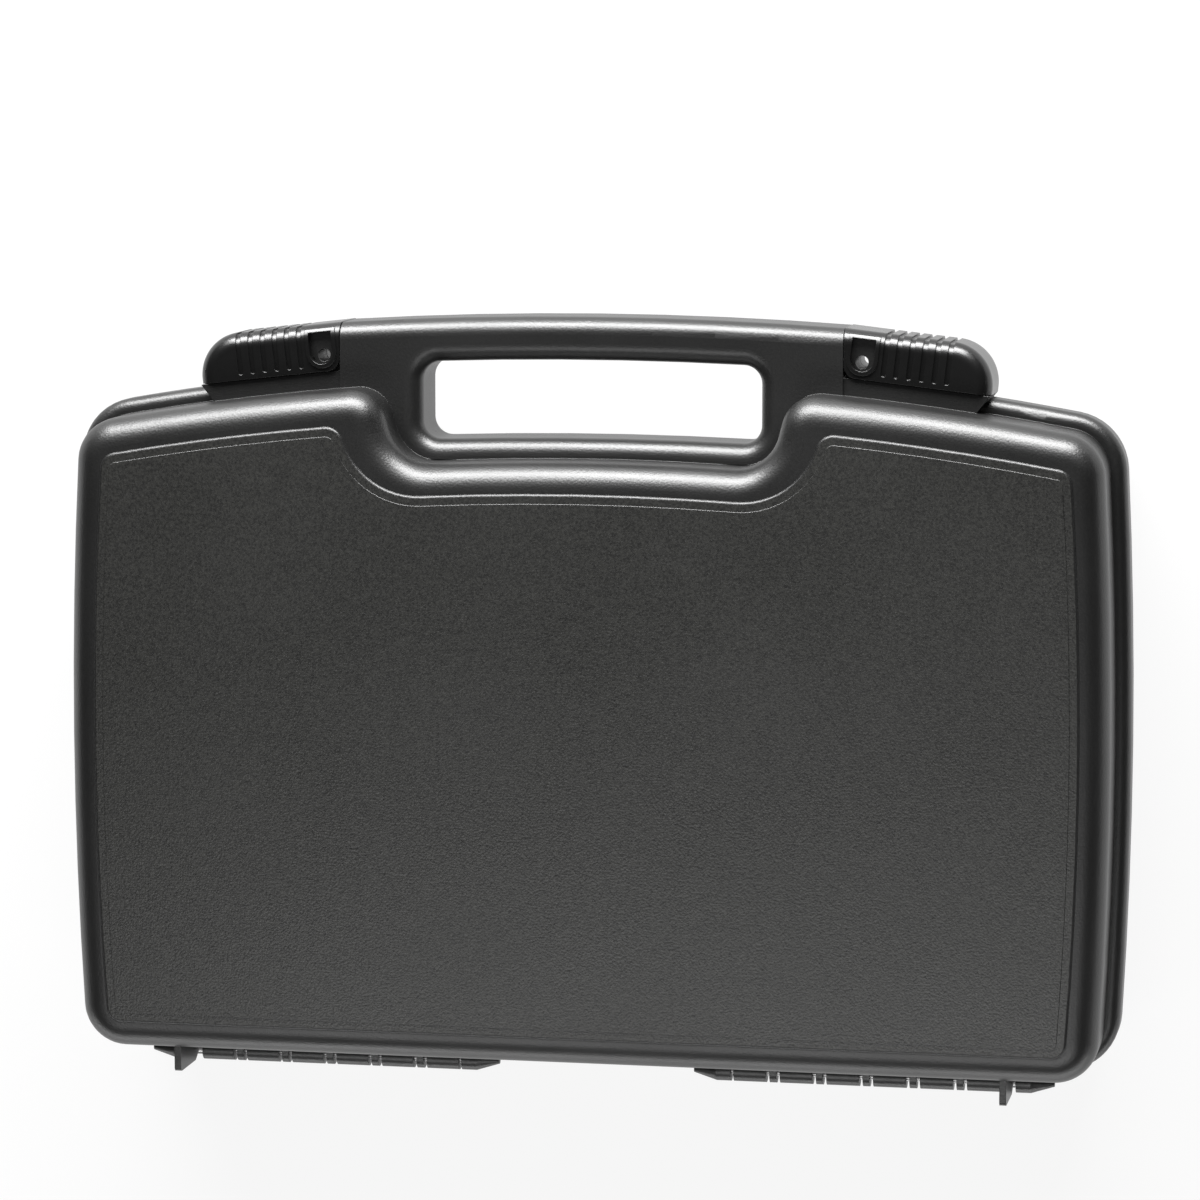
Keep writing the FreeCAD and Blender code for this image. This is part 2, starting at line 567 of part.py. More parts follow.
# Sketch of a rectangle across a body's X axis, at a distance along it
def section(body, name, start, y_low, y_high, z_low, z_high):
    sketch = body.newObject("Sketcher::SketchObject", name)
    sketch.AttachmentSupport = (origin_feature(body, "YZ_Plane"), [""])
    sketch.MapMode = "FlatFace"
    sketch.setExpression("AttachmentOffset.Base.z", start)
    corners = [FreeCAD.Vector(x, y, 0) for x, y in ((0, 0), (1, 0), (1, 1), (0, 1))]
    for number in range(4):
        sketch.addGeometry(Part.LineSegment(corners[number], corners[(number + 1) % 4]), False)
    for number in range(4):
        sketch.addConstraint(Sketcher.Constraint("Coincident", number, 2, (number + 1) % 4, 1))
    for number, direction in enumerate(("Horizontal", "Vertical", "Horizontal", "Vertical")):
        sketch.addConstraint(Sketcher.Constraint(direction, number))
    spans = [("left", "DistanceX", y_low, 0), ("bottom", "DistanceY", z_low, 0),
             ("right", "DistanceX", y_high, 2), ("top", "DistanceY", z_high, 2)]
    for label, kind, expression, line in spans:
        spot = sketch.Geometry[line].StartPoint
        value = spot.x if kind == "DistanceX" else spot.y
        index = sketch.addConstraint(Sketcher.Constraint(kind, -1, 1, line, 1, value))
        sketch.renameConstraint(index, label)
    for label, kind, expression, line in spans:
        sketch.setExpression("Constraints." + label, expression)
    return sketch


def origin_feature(body, role):
    return next(feature for feature in body.Origin.OriginFeatures if feature.Role == role)


def pad(body, sketch, length):
    feature = body.newObject("PartDesign::Pad", sketch.Name + "_pad")
    feature.Profile = sketch
    feature.setExpression("Length", length)
    sketch.Visibility = False
    return feature


# Cut from the sketch along its plane's own normal, which has to take something away
def pocket(body, sketch, length):
    doc.recompute()
    before = body.Shape.Volume
    feature = body.newObject("PartDesign::Pocket", sketch.Name + "_pocket")
    feature.Profile = sketch
    feature.Reversed = True
    feature.setExpression("Length", length)
    doc.recompute()
    if body.Shape.Volume >= before:
        raise RuntimeError(sketch.Name + " cuts nothing")
    return feature


# Sketch of a closed profile on one of a body's planes, at a distance from it. Each spot is (x, y) or, where
# an arc runs on to the next spot, (x, y, (middle x, middle y)).
def profile(body, name, plane, start, loops):
    sketch = body.newObject("Sketcher::SketchObject", name)
    sketch.AttachmentSupport = (origin_feature(body, plane), [""])
    sketch.MapMode = "FlatFace"
    sketch.setExpression("AttachmentOffset.Base.z", start)
    for loop in loops:
        for number, spot in enumerate(loop):
            following = loop[(number + 1) % len(loop)]
            here, there = FreeCAD.Vector(spot[0], spot[1], 0), FreeCAD.Vector(following[0], following[1], 0)
            if len(spot) == 3:
                sketch.addGeometry(Part.Arc(here, FreeCAD.Vector(spot[2][0], spot[2][1], 0), there), False)
            else:
                sketch.addGeometry(Part.LineSegment(here, there), False)
    return sketch


# Slider: a hollow cap over both rails. Lips at its front, at an inner web and behind hold it; the rear lips
# and the rear wall are cut into teeth that match those of the base.
slider = doc.addObject("PartDesign::Body", "latch_slider_right")
ceiling = "-(Sizes.latch_height - Sizes.latch_wall)"
lip_top = "-(Sizes.lip_start + Sizes.lip_height)"
lip_bottom = "-Sizes.lip_start"
lip_face = latch_inside + " - Sizes.latch_lip"
hollow_length = "Sizes.latch_length - Sizes.latch_wall"
lip_run = latch_travel + " + Sizes.latch_gap"
bend_share = 1 - math.sqrt(0.5)
lean = math.tan(math.radians(size("latch_slope")))


# Side view of the cap or, drawn in by an inset, of its hollow. The inner end leans so that it stands along
# the handle's upright end.
def cap_loop(inset):
    foot = -size("latch_gap")
    crest = inset - size("latch_height")
    nose = size("latch_nose") - inset
    outer_end = size("latch_length") - inset
    heel = size("latch_heel")
    nose_middle = (outer_end - nose * bend_share, crest + nose * bend_share)
    if inset:
        open_end = lean * crest - inset
        return [(open_end, inset), (outer_end, inset), (outer_end, crest + nose, nose_middle),
                (outer_end - nose, crest), (open_end, crest)]
    heel_middle = (heel * bend_share, foot - heel * bend_share)
    return [(lean * (foot - heel), foot - heel, heel_middle), (heel, foot), (outer_end, foot),
            (outer_end, crest + nose, nose_middle), (outer_end - nose, crest), (lean * crest, crest)]


cap_view = profile(slider, "cap", "XY_Plane", "-" + latch_half, [cap_loop(0)])
cap = pad(slider, cap_view, "Sizes.handle_thickness")
doc.recompute()


# Edges of the cap's two faces along its top and round its outer end
def is_cap_edge(edge):
    bounds = edge.BoundBox
    flat = bounds.ZLength < 0.001
    on_face = flat and abs(abs(edge.CenterOfMass.z) - size("handle_thickness") / 2) < 0.001
    at_foot = bounds.YMax > -size("latch_gap") - 0.001 and bounds.XMin < size("latch_length") - 0.001
    at_inner_end = bounds.XMax < size("latch_heel") + 0.001
    return on_face and not at_foot and not at_inner_end


numbered_edges = enumerate(slider.Shape.Edges, start=1)
cap_edges = ["Edge%d" % number for number, edge in numbered_edges if is_cap_edge(edge)]
cap_round = slider.newObject("PartDesign::Fillet", "cap_round")
cap_round.Base = (cap, cap_edges)
cap_round.setExpression("Radius", "Sizes.latch_round")
pocket(slider, profile(slider, "hollow", "XY_Plane", "-(%s)" % latch_inside, [cap_loop(size("latch_wall"))]),
       "2 * (%s)" % latch_inside)
lip_length = "%s - (%s)" % (hollow_length, lip_run)
lip_root = latch_inside + " + Sizes.latch_wall / 2"
pad(slider, section(slider, "front_lip", lip_run, lip_top, lip_bottom, lip_face, lip_root), lip_length)
pad(slider, section(slider, "rear_lip", lip_run, lip_top, lip_bottom, "-(%s)" % lip_root, "-(%s)" % lip_face),
    lip_length)
web_length = "%s - (%s)" % (rail_end, lip_run)
web_root = ceiling + " - Sizes.latch_wall / 2"
pad(slider, section(slider, "web", lip_run, web_root, lip_bottom, "Sizes.latch_gap", web_face), web_length)
pad(slider, section(slider, "web_lip", lip_run, lip_top, lip_bottom, "Sizes.latch_gap + Sizes.latch_web / 2",
                    web_face + " + Sizes.latch_lip"), web_length)


# Padlock window with a round lower end, widened by a margin for its raised rim, up to a head
def window_loop(margin, head):
    near = size("window_start") - margin
    far = size("window_start") + size("window_width") + margin
    radius = size("window_width") / 2 + margin
    sill = -size("window_sill") + margin
    return [(near, head), (near, sill - radius, ((near + far) / 2, sill)), (far, sill - radius), (far, head)]


# All that lies outside the cap's skin, over its front, top and back, from a height upwards. The skin is sunk
# by a depth, or raised where the depth is negative.
def skin_loop(sunk, height):
    side = size("handle_thickness") / 2 - sunk
    crest = sunk - size("latch_height")
    bend = size("latch_round") - sunk
    outside = size("handle_thickness") / 2 + size("latch_wall")
    above = -(size("latch_height") + size("latch_wall"))
    low = -height
    front_bend = (crest + bend * bend_share, side - bend * bend_share)
    rear_bend = (front_bend[0], -front_bend[1])
    return [(low, -outside), (above, -outside), (above, outside), (low, outside), (low, side),
            (crest + bend, side, front_bend), (crest, side - bend), (crest, bend - side, rear_bend),
            (crest + bend, -side), (low, -side)]


rim_rise = size("window_rim_rise")
rim_crest = -size("latch_height") - rim_rise
window_crest = size("window_head") - size("latch_height")
rim_view = profile(slider, "window_rim_ring", "XY_Plane", latch_half + " - Sizes.latch_wall / 2",
                   [window_loop(size("window_rim"), rim_crest)])
pad(slider, rim_view, "Sizes.latch_wall / 2 + Sizes.window_rim_rise")
rim_skin = profile(slider, "window_rim_trim", "YZ_Plane", "Sizes.window_start - Sizes.window_rim",
                   [skin_loop(-rim_rise, size("window_sill"))])
pocket(slider, rim_skin, "Sizes.window_width + 2 * Sizes.window_rim")
window_view = profile(slider, "window", "XY_Plane", latch_inside + " - Sizes.latch_gap",
                      [window_loop(0, window_crest)])
pocket(slider, window_view, "Sizes.latch_gap + 2 * Sizes.latch_wall")
rear_gap_top = ceiling + " + Sizes.latch_gap / 2"
for number in range(2):
    gap_start = "%d * Sizes.tooth_pitch" % number
    pocket(slider, section(slider, "rear_gap_%d" % number, gap_start, rear_gap_top, "Sizes.latch_wall",
                           "-(%s + Sizes.latch_wall)" % latch_half, "-(%s) + Sizes.latch_gap" % lip_face),
           lip_run)


# Grip grooves run up the front, over the top and down the back, with round lower ends
def groove_end_loop():
    radius = size("rib_groove_width") / 2
    near = size("rib_groove_start")
    far = near + 2 * radius
    height = -size("rib_groove_foot") - radius
    return [(near, height, (near + radius, height - radius)), (far, height, (near + radius, height + radius))]


groove_skin = skin_loop(size("rib_groove_depth"), size("rib_groove_foot") + size("rib_groove_width") / 2)
groove = pocket(slider, profile(slider, "grip_groove", "YZ_Plane", "Sizes.rib_groove_start", [groove_skin]),
                "Sizes.rib_groove_width")
end_length = "Sizes.rib_groove_depth + Sizes.latch_wall"
front_start = latch_half + " - Sizes.rib_groove_depth"
front_end = pocket(slider, profile(slider, "groove_front_end", "XY_Plane", front_start, [groove_end_loop()]),
                   end_length)
rear_start = "-(%s) - Sizes.latch_wall" % latch_half
rear_end = pocket(slider, profile(slider, "groove_rear_end", "XY_Plane", rear_start, [groove_end_loop()]),
                  end_length)
grooves = slider.newObject("PartDesign::LinearPattern", "grip_grooves")
grooves.Originals = [groove, front_end, rear_end]
grooves.Direction = (origin_feature(slider, "X_Axis"), [""])
grooves.setExpression("Length", "%d * Sizes.rib_groove_pitch" % (rib_groove_count - 1))
grooves.Occurrences = rib_groove_count
slider.Tip = grooves
place_on_slope(slider)
slider_left = mirrored("latch_slider_left", slider)

# Hinge pins, buried in the end blocks
pin = doc.addObject("PartDesign::Body", "hinge_pin_right")
pin_circle = pin.newObject("Sketcher::SketchObject", "pin_circle")
pin_circle.AttachmentSupport = (origin_feature(pin, "YZ_Plane"), [""])
pin_circle.MapMode = "FlatFace"
pin_round = Part.Circle(FreeCAD.Vector(0, 0, 0), FreeCAD.Vector(0, 0, 1), size("pin_diameter") / 2)
pin_circle.addGeometry(pin_round, False)
pin_circle.addConstraint(Sketcher.Constraint("Coincident", 0, 3, -1, 1))
pin_width = pin_circle.addConstraint(Sketcher.Constraint("Diameter", 0, size("pin_diameter")))
pin_circle.setExpression("Constraints[%d]" % pin_width, "Sizes.pin_diameter")
pin_from = row_start + " + Sizes.end_block - Sizes.pin_bury + Sizes.pin_play"
pad(pin, pin_circle, "(%s) + Sizes.pin_bury - (%s) - Sizes.pin_play" % (outer_block, pin_from))
pin.setExpression("Placement.Base.x", pin_from)
pin.setExpression("Placement.Base.y", depth(hinge_axis))
pin.setExpression("Placement.Base.z", hinge_level)
pin_left = mirrored("hinge_pin_left", pin)

# Foam: a pad on the lid's flat, a sheet on the base's flat, and an insert with pockets cut right through it
flat_outline = offset("flat_outline", tray_outline, "-Sizes.edge_round - Sizes.foam_gap")
insert_outline = offset("insert_outline", tray_outline, "-Sizes.wall - Sizes.foam_gap")
lid_inside = "Sizes.lid_height - Sizes.wall"
base_inside = "Sizes.base_height - Sizes.wall"
lid_pad = prism("lid_foam_pad", flat_outline, 1, lid_inside, lid_inside + " - Sizes.lid_foam")
floor_sheet = prism("base_foam_floor", flat_outline, -1, base_inside, base_inside + " - Sizes.foam_floor")
insert_block = prism("insert_block", insert_outline, -1, base_inside + " - Sizes.foam_floor",
                     "Sizes.foam_headroom")
edge_near = "Sizes.wall + Sizes.foam_gap + Sizes.pocket_wall"
head_middle = edge_near + " + Sizes.microphone_head / 2"
receiver_near = head_middle + " + Sizes.microphone_pitch + Sizes.microphone_head / 2 + Sizes.pocket_wall"
pocket_low = "Sizes.wall"
pocket_high = "Sizes.base_height"


def pocket_box(name, x_low, x_high, near, far):
    block = box(name + "_block", x_low, x_high, depth(far), depth(near), pocket_low, pocket_high)
    return rounded(name, block, size("pocket_round"), lambda edge: edge.BoundBox.ZLength > 1)


# Two microphones lie head to tail
def microphone_pocket(name, middle, head_side):
    end = "Sizes.microphone_length / 2"
    head_end = "Sizes.microphone_length / 2 - Sizes.microphone_head_length"
    across = (("-(%s)" % end, "-(%s)" % head_end) if head_side < 0 else (head_end, end))
    half_head = "Sizes.microphone_head / 2"
    half_body = "Sizes.microphone_body / 2"
    return [pocket_box(name + "_head", across[0], across[1],
                       "%s - %s" % (middle, half_head), "%s + %s" % (middle, half_head)),
            pocket_box(name + "_body", "-(%s)" % end, end,
                       "%s - %s" % (middle, half_body), "%s + %s" % (middle, half_body))]


pair_width = "Sizes.receiver_width + Sizes.pocket_wall + Sizes.accessory_width"
receiver_low = "-(%s) / 2" % pair_width
accessory_low = receiver_low + " + Sizes.receiver_width + Sizes.pocket_wall"
pockets = microphone_pocket("first_microphone", head_middle, -1)
pockets += microphone_pocket("second_microphone", head_middle + " + Sizes.microphone_pitch", 1)
pockets.append(pocket_box("receiver", receiver_low, receiver_low + " + Sizes.receiver_width",
                          receiver_near, receiver_near + " + Sizes.receiver_length"))
pockets.append(pocket_box("accessory", accessory_low, accessory_low + " + Sizes.accessory_width",
                          receiver_near, receiver_near + " + Sizes.receiver_length"))
insert = cut("base_foam_insert", insert_block, pockets)

# Write every piece after checking the whole document
pieces = [lid_shell, base_shell, slider, slider_left, pin, pin_left, lid_pad, floor_sheet, insert]
for piece in pieces:
    piece.Label = piece.Name
doc.recompute()
for thing in doc.Objects:
    if "Invalid" in thing.State or "Error" in thing.State:
        raise RuntimeError("%s failed: %s" % (thing.Name, thing.State))
os.makedirs("parts", exist_ok=True)
for piece in pieces:
    if piece.Shape.isNull() or not piece.Shape.isValid() or len(piece.Shape.Solids) != 1:
        raise RuntimeError(piece.Label + " is not one valid solid")
    piece.Shape.exportStep("parts/%s.step" % piece.Label)
    print("%-20s %10.1f mm3" % (piece.Label, piece.Shape.Volume))
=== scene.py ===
import bmesh
import bpy
import math
from mathutils import Matrix, Vector


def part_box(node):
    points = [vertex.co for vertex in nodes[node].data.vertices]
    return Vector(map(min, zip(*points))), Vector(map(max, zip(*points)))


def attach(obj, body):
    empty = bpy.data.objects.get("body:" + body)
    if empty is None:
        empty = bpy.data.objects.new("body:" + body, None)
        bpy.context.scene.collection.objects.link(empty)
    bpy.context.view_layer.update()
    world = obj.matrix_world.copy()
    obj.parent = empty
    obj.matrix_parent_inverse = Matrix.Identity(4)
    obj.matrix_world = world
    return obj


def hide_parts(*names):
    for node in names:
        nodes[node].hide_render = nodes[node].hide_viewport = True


# Hard case for a wireless microphone set, seen lying on its base with the handle away from the hinge
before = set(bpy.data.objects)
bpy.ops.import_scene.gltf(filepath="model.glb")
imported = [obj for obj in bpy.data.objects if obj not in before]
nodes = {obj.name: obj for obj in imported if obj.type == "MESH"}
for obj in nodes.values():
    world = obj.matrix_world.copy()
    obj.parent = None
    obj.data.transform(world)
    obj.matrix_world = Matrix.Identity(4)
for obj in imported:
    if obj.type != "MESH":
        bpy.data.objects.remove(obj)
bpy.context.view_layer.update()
print("frame loaded:", ", ".join(sorted(nodes)))


# Short words for node trees, used by the finishes and by the foam

def addNode(tree, kind, values=None, **settings):
    node = tree.nodes.new(kind)
    for name, value in settings.items():
        setattr(node, name, value)
    for socket, value in (values or {}).items():
        node.inputs[socket].default_value = value
    return node


def link(tree, source, target):
    tree.links.new(source, target)


def calc(tree, operation, first, second=None):
    node = addNode(tree, "ShaderNodeMath", operation=operation)
    for socket, value in enumerate((first, second)):
        if value is None:
            continue
        if isinstance(value, (int, float)):
            node.inputs[socket].default_value = value
        else:
            link(tree, value, node.inputs[socket])
    return node.outputs[0]


def spread(tree, value, low, high, newLow, newHigh):
    node = addNode(tree, "ShaderNodeMapRange",
                   {"From Min": low, "From Max": high, "To Min": newLow, "To Max": newHigh})
    link(tree, value, node.inputs["Value"])
    return node.outputs["Result"]


def mixColour(tree, factor, first, second):
    node = addNode(tree, "ShaderNodeMix", data_type="RGBA")
    link(tree, factor, node.inputs[0])
    for socket, value in ((6, first), (7, second)):
        if isinstance(value, tuple):
            node.inputs[socket].default_value = value + (1,)
        else:
            link(tree, value, node.inputs[socket])
    return node.outputs[2]


def newGroup(name, inputs, outputs):
    group = bpy.data.node_groups.new(name, "ShaderNodeTree")
    for socketName, value in inputs:
        socket = group.interface.new_socket(socketName, in_out="INPUT", socket_type="NodeSocketFloat")
        socket.default_value = value
    for socketName, kind in outputs:
        group.interface.new_socket(socketName, in_out="OUTPUT", socket_type=kind)
    return group, group.nodes.new("NodeGroupInput"), group.nodes.new("NodeGroupOutput")


# Moulded grain: small pebbles with fine tooth between them
grainMix = {
    "cellsPerMetre": 1400, "pebbleScale": 1.0, "toothScale": 1.9, "fleckScale": 1.0,
    "pebbleShare": 0.6, "toothShare": 0.4, "fleckLow": 0.35, "fleckHigh": 0.65,
}


def makePebbleGrain():
    group, given, result = newGroup("pebbleGrain", [("Cells per metre", grainMix["cellsPerMetre"])],
                                    [("Height", "NodeSocketFloat"), ("Fleck", "NodeSocketFloat")])
    where = addNode(group, "ShaderNodeTexCoord").outputs["Object"]
    pebbles = addNode(group, "ShaderNodeTexVoronoi", {"Smoothness": 0.6, "Randomness": 0.9},
                      feature="SMOOTH_F1")
    tooth = addNode(group, "ShaderNodeTexNoise", {"Detail": 3, "Roughness": 0.6})
    flecks = addNode(group, "ShaderNodeTexNoise", {"Detail": 2, "Roughness": 0.7})
    for texture, scale in ((pebbles, "pebbleScale"), (tooth, "toothScale"), (flecks, "fleckScale")):
        link(group, where, texture.inputs["Vector"])
        cells = calc(group, "MULTIPLY", given.outputs["Cells per metre"], grainMix[scale])
        link(group, cells, texture.inputs["Scale"])
    rise = calc(group, "SUBTRACT", 1.0, pebbles.outputs["Distance"])
    height = calc(group, "ADD", calc(group, "MULTIPLY", rise, grainMix["pebbleShare"]),
                  calc(group, "MULTIPLY", tooth.outputs["Fac"], grainMix["toothShare"]))
    link(group, height, result.inputs["Height"])
    fleck = spread(group, flecks.outputs["Fac"], grainMix["fleckLow"], grainMix["fleckHigh"], 0, 1)
    link(group, fleck, result.inputs["Fleck"])
    return group


# Rubbed edges: where the surface turns sharply, broken up by noise, and the softened normal there
edgeRub = {
    "width": 0.0006, "wear": 0.5, "samples": 6, "patchesPerMetre": 90,
    "turnStart": 0.99, "turnFull": 0.8, "patchLow": 0.3, "patchHigh": 0.6,
}


def makeRubbedEdge():
    group, given, result = newGroup("rubbedEdge", [("Width", edgeRub["width"]), ("Wear", edgeRub["wear"])],
                                    [("Mask", "NodeSocketFloat"), ("Normal", "NodeSocketVector")])
    where = addNode(group, "ShaderNodeTexCoord").outputs["Object"]
    soft = addNode(group, "ShaderNodeBevel", samples=edgeRub["samples"])
    link(group, given.outputs["Width"], soft.inputs["Radius"])
    facing = addNode(group, "ShaderNodeNewGeometry").outputs["Normal"]
    turn = addNode(group, "ShaderNodeVectorMath", operation="DOT_PRODUCT")
    link(group, soft.outputs["Normal"], turn.inputs[0])
    link(group, facing, turn.inputs[1])
    patches = addNode(group, "ShaderNodeTexNoise",
                      {"Scale": edgeRub["patchesPerMetre"], "Detail": 4, "Roughness": 0.6})
    link(group, where, patches.inputs["Vector"])
    edge = spread(group, turn.outputs["Value"], edgeRub["turnStart"], edgeRub["turnFull"], 0, 1)
    broken = spread(group, patches.outputs["Fac"], edgeRub["patchLow"], edgeRub["patchHigh"], 0, 1)
    mask = calc(group, "MULTIPLY", calc(group, "MULTIPLY", edge, broken), given.outputs["Wear"])
    link(group, mask, result.inputs["Mask"])
    link(group, soft.outputs["Normal"], result.inputs["Normal"])
    return group


# Handling: broad cloudy change of gloss and tone
handlingMix = {"cloudsPerMetre": 14, "glossScale": 1.0, "toneScale": 0.4, "cloudLow": 0.3, "cloudHigh": 0.7}


def makeHandling():
    group, given, result = newGroup("handling", [("Clouds per metre", handlingMix["cloudsPerMetre"])],
                                    [("Gloss", "NodeSocketFloat"), ("Tone", "NodeSocketFloat")])
    where = addNode(group, "ShaderNodeTexCoord").outputs["Object"]
    for output, scale, detail in (("Gloss", "glossScale", 5), ("Tone", "toneScale", 3)):
        clouds = addNode(group, "ShaderNodeTexNoise", {"Detail": detail, "Roughness": 0.55})
        link(group, where, clouds.inputs["Vector"])
        spacing = calc(group, "MULTIPLY", given.outputs["Clouds per metre"], handlingMix[scale])
        link(group, spacing, clouds.inputs["Scale"])
        change = spread(group, clouds.outputs["Fac"],
                        handlingMix["cloudLow"], handlingMix["cloudHigh"], 0, 1)
        link(group, change, result.inputs[output])
    return group


pebbleGrain = makePebbleGrain()
rubbedEdge = makeRubbedEdge()
handling = makeHandling()
print("shader groups ready")


def newMaterial(name):
    material = bpy.data.materials.new(name)
    material.use_nodes = True
    tree = material.node_tree
    return material, tree, tree.nodes["Principled BSDF"]


def useGroup(tree, group, **values):
    node = addNode(tree, "ShaderNodeGroup", node_tree=group)
    for name, value in values.items():
        node.inputs[name.replace("_", " ")].default_value = value
    return node


# Flat panels of the two halves, told from the rolled border by height and by the way the surface faces
def panelZone(tree, zone):
    coords = addNode(tree, "ShaderNodeTexCoord").outputs
    spot = addNode(tree, "ShaderNodeSeparateXYZ")
    link(tree, coords["Object"], spot.inputs[0])
    facing = addNode(tree, "ShaderNodeSeparateXYZ")
    link(tree, coords["Normal"], facing.inputs[0])
    flat = spread(tree, calc(tree, "ABSOLUTE", facing.outputs["Z"]), zone["flat"], 1.0, 0, 1)
    lid = spread(tree, spot.outputs["Z"], zone["lidFace"] - zone["fade"], zone["lidFace"], 0, 1)
    base = spread(tree, spot.outputs["Z"], zone["baseFace"] + zone["fade"], zone["baseFace"], 0, 1)
    return calc(tree, "MULTIPLY", flat, calc(tree, "ADD", lid, base))


# Moulded plastic: a satin skin with fine tooth, and a paler, coarser grain where it has a panel
def makePlastic(name, look):
    material, tree, shader = newMaterial(name)
    grain = useGroup(tree, pebbleGrain, Cells_per_metre=look["grainCells"])
    edge = useGroup(tree, rubbedEdge, Width=look["edgeSoftness"], Wear=look["edgeWear"])
    hands = useGroup(tree, handling, Clouds_per_metre=look["cloudsPerMetre"])
    skin = mixColour(tree, grain.outputs["Fleck"], look["dark"], look["light"])
    gloss = spread(tree, hands.outputs["Gloss"], 0, 1, look["roughness"] - look["roughSpan"],
                   look["roughness"] + look["roughSpan"])
    height = calc(tree, "MULTIPLY", grain.outputs["Height"], look["tooth"])
    if "panel" in look:
        panel = look["panel"]
        zone = panelZone(tree, panel)
        panelSkin = mixColour(tree, grain.outputs["Fleck"], panel["dark"], panel["light"])
        skin = mixColour(tree, zone, skin, panelSkin)
        coarse = calc(tree, "MULTIPLY", grain.outputs["Height"], panel["tooth"] - look["tooth"])
        height = calc(tree, "ADD", height, calc(tree, "MULTIPLY", zone, coarse))
    tone = spread(tree, hands.outputs["Tone"], 0, 1, 0, look["toneShare"])
    toned = mixColour(tree, tone, skin, look["worn"])
    colour = mixColour(tree, edge.outputs["Mask"], toned, look["worn"])
    link(tree, colour, shader.inputs["Base Color"])
    link(tree, gloss, shader.inputs["Roughness"])
    bump = addNode(tree, "ShaderNodeBump",
                   {"Strength": look["grainStrength"], "Distance": look["grainDepth"]})
    link(tree, height, bump.inputs["Height"])
    link(tree, edge.outputs["Normal"], bump.inputs["Normal"])
    link(tree, bump.outputs["Normal"], shader.inputs["Normal"])
    shader.inputs["Specular IOR Level"].default_value = look["specular"]
    return material


shellLook = {
    "dark": (0.003, 0.003, 0.003), "light": (0.007, 0.007, 0.0068), "worn": (0.02, 0.02, 0.0195),
    "grainCells": 1150, "grainStrength": 0.6, "grainDepth": 0.0002, "tooth": 0.6,
    "edgeSoftness": 0.0003, "edgeWear": 0.2, "cloudsPerMetre": 14, "toneShare": 0.1,
    "roughness": 0.38, "roughSpan": 0.03, "specular": 0.8,
    "panel": {
        "dark": (0.004, 0.004, 0.0036), "light": (0.024, 0.024, 0.0218), "tooth": 1.2,
        "flat": 0.985, "lidFace": 0.0898, "baseFace": 0.0002, "fade": 0.0005,
    },
}
latchLook = {
    "dark": (0.0015, 0.0015, 0.0015), "light": (0.003, 0.003, 0.003), "worn": (0.016, 0.016, 0.016),
    "grainCells": 1900, "grainStrength": 0.3, "grainDepth": 0.0001, "tooth": 1.0,
    "edgeSoftness": 0.0004, "edgeWear": 0.5, "cloudsPerMetre": 30, "toneShare": 0.1,
    "roughness": 0.28, "roughSpan": 0.03, "specular": 0.7,
}
shellPlastic = makePlastic("shellPlastic", shellLook)
latchPlastic = makePlastic("latchPlastic", latchLook)


# Hinge pins: drawn steel wire with fine lines along it
pinLook = {
    "dark": (0.42, 0.42, 0.43), "bright": (0.62, 0.62, 0.61), "linesPerMetre": 5000, "stretch": 0.02,
    "cloudsPerMetre": 60, "smoothest": 0.26, "roughest": 0.42, "lineStrength": 0.2, "lineDepth": 0.00005,
}


def makePinSteel():
    material, tree, shader = newMaterial("pinSteel")
    where = addNode(tree, "ShaderNodeTexCoord").outputs["Object"]
    squeeze = addNode(tree, "ShaderNodeMapping", {"Scale": (pinLook["stretch"], 1, 1)})
    link(tree, where, squeeze.inputs["Vector"])
    lines = addNode(tree, "ShaderNodeTexNoise", {"Scale": pinLook["linesPerMetre"], "Detail": 2})
    link(tree, squeeze.outputs["Vector"], lines.inputs["Vector"])
    hands = useGroup(tree, handling, Clouds_per_metre=pinLook["cloudsPerMetre"])
    colour = mixColour(tree, lines.outputs["Fac"], pinLook["dark"], pinLook["bright"])
    link(tree, colour, shader.inputs["Base Color"])
    gloss = spread(tree, hands.outputs["Gloss"], 0, 1, pinLook["smoothest"], pinLook["roughest"])
    link(tree, gloss, shader.inputs["Roughness"])
    bump = addNode(tree, "ShaderNodeBump",
                   {"Strength": pinLook["lineStrength"], "Distance": pinLook["lineDepth"]})
    link(tree, lines.outputs["Fac"], bump.inputs["Height"])
    link(tree, bump.outputs["Normal"], shader.inputs["Normal"])
    shader.inputs["Metallic"].default_value = 1
    return material


# Foam: open cells, dark grey, very matt, with painted shade in the cell pores where the grain's bump is low
foamLook = {
    "dark": (0.016, 0.016, 0.017), "light": (0.06, 0.06, 0.062), "cellsPerMetre": 900,
    "paintedShadeLow": 0.35, "paintedShadeHigh": 0.75, "cloudsPerMetre": 20, "toneShare": 0.3,
    "smoothest": 0.9, "roughest": 1, "strength": 0.8, "depth": 0.0006, "sheen": 0.15, "specular": 0.2,
}


